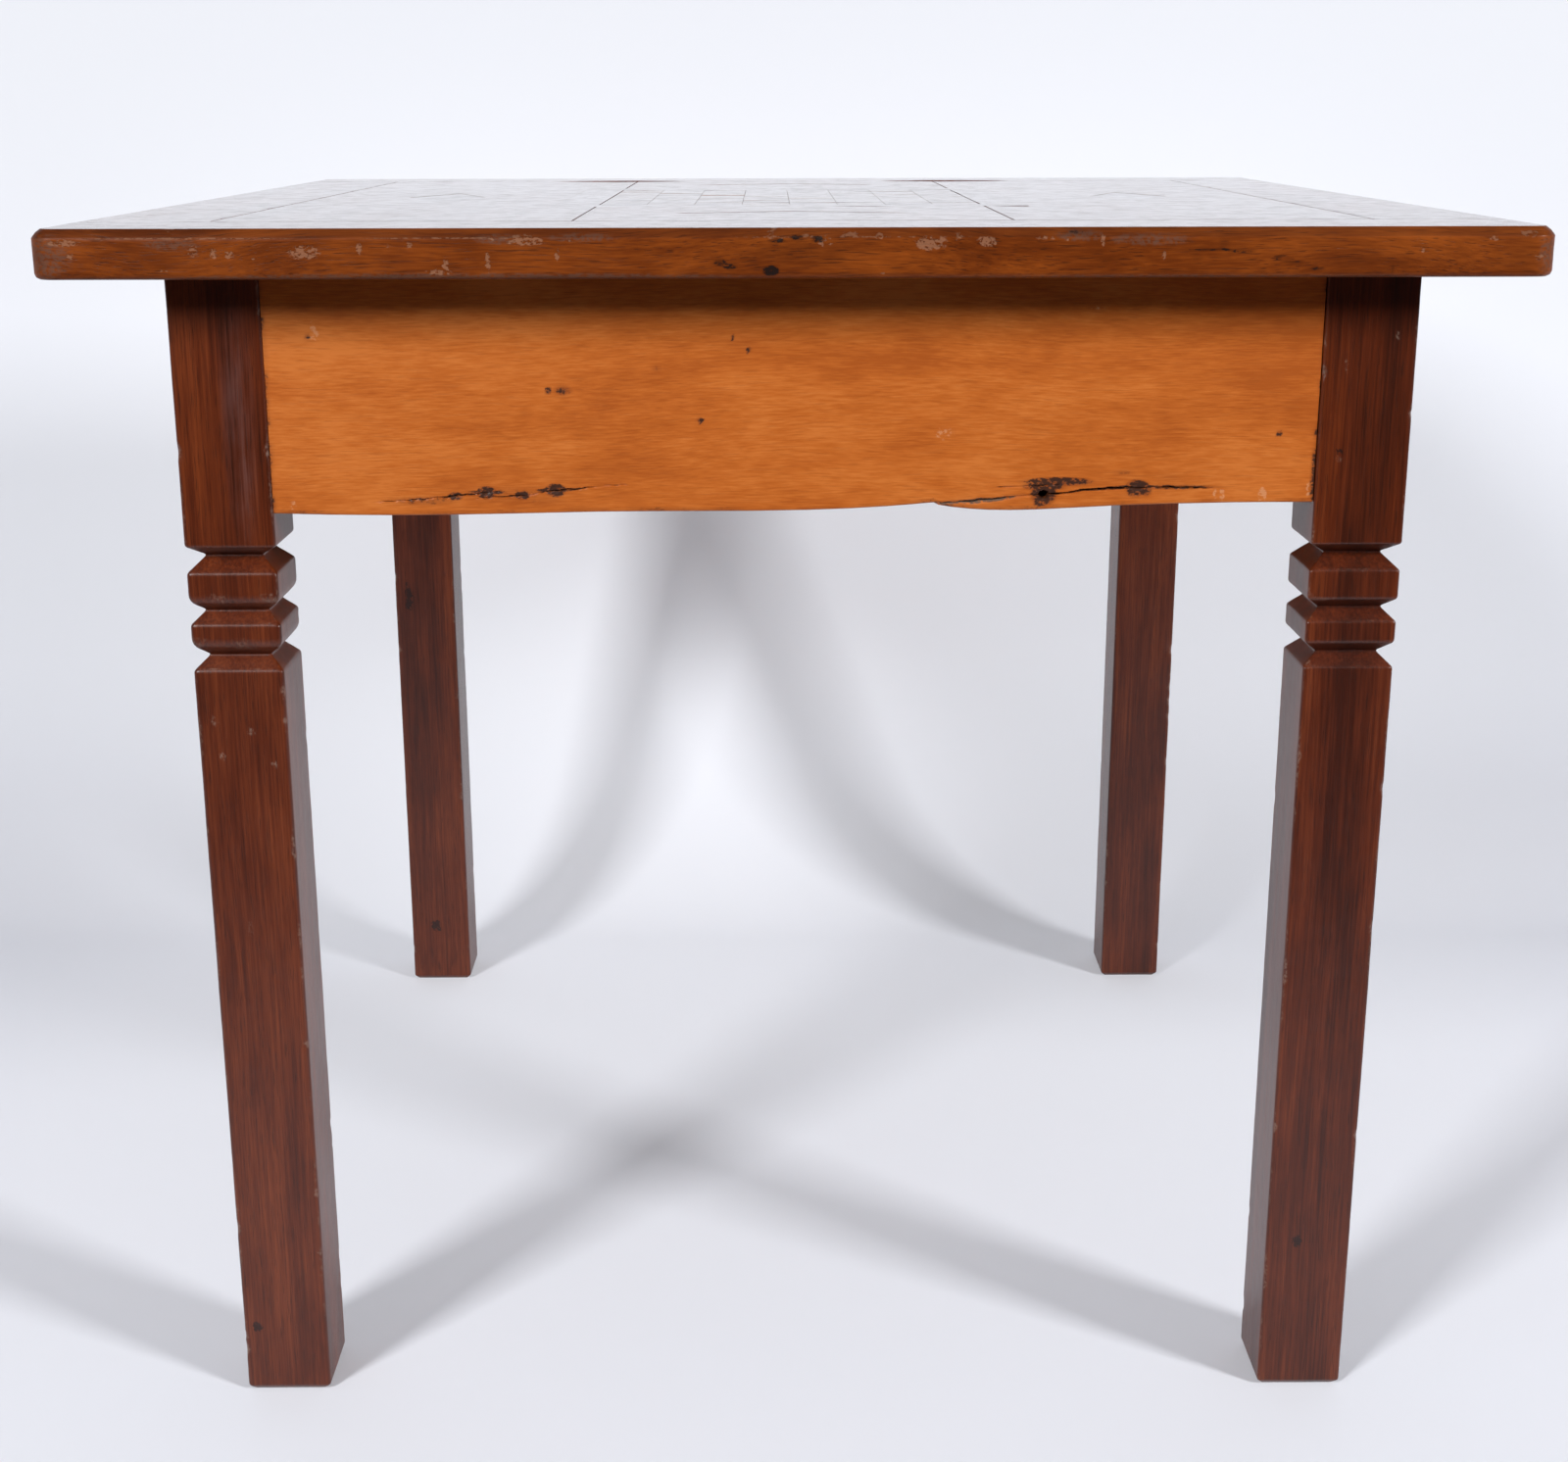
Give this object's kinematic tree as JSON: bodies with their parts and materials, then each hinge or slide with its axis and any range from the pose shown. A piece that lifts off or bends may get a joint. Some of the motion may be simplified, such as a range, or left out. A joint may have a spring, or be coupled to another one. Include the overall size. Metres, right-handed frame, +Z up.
{
  "type": "games table",
  "caption": "Square games table: framed plank top inlaid with a chequered board, on square legs with notched collars tenoned to deep aprons.",
  "frame": {"origin": "middle of the table's plan, on the floor under the feet", "axes": "+Z up; -Y towards the side with the waney apron, which the picture shows; +X to the right from there"},
  "size_m": [0.864, 0.864, 0.765],
  "materials": {
    "leg_wood": "dark red-brown hardwood, satin varnish",
    "apron_wood": "honey-orange softwood with knots, satin varnish",
    "border_wood": "red-brown hardwood, worn gloss varnish",
    "field_wood": "red-brown hardwood, worn gloss varnish",
    "dark_inlay": "dark hardwood inlay, worn gloss varnish",
    "light_inlay": "light hardwood inlay, worn gloss varnish",
    "edging_wood": "mid-brown hardwood strip, worn gloss varnish",
    "bare_wood": "unfinished softwood",
    "nail_iron": "dark forged iron"
  },
  "bodies": {
    "root": {"leg_front_left": "leg_wood", "leg_front_right": "leg_wood", "leg_rear_left": "leg_wood", "leg_rear_right": "leg_wood", "apron_front": "apron_wood", "apron_rear": "apron_wood", "apron_left": "apron_wood", "apron_right": "apron_wood", "top_border_front": "border_wood", "top_border_rear": "border_wood", "top_border_left": "border_wood", "top_border_right": "border_wood", "field_board_left": "field_wood", "field_board_middle": "field_wood", "field_board_right": "field_wood", "board_squares_dark": "dark_inlay", "board_squares_light": "light_inlay", "board_edging_front": "edging_wood", "board_edging_rear": "edging_wood", "board_edging_left": "edging_wood", "board_edging_right": "edging_wood", "lozenge_inlay_front": "dark_inlay", "lozenge_inlay_rear": "dark_inlay", "lozenge_inlay_left": "dark_inlay", "lozenge_inlay_right": "dark_inlay", "top_tongue_front": "bare_wood", "top_tongue_rear": "bare_wood", "top_tongue_left": "bare_wood", "top_tongue_right": "bare_wood", "top_tongue_middle_left": "bare_wood", "top_tongue_middle_right": "bare_wood", "batten_front": "bare_wood", "batten_rear": "bare_wood", "corner_block_front_left": "bare_wood", "corner_block_front_right": "bare_wood", "corner_block_rear_left": "bare_wood", "corner_block_rear_right": "bare_wood", "top_button_front_a": "bare_wood", "top_button_front_b": "bare_wood", "top_button_right_a": "bare_wood", "top_button_right_b": "bare_wood", "top_button_rear_a": "bare_wood", "top_button_rear_b": "bare_wood", "top_button_left_a": "bare_wood", "top_button_left_b": "bare_wood", "button_nails": "nail_iron", "block_nails": "nail_iron", "batten_nails": "nail_iron"}
  },
  "joints": []
}
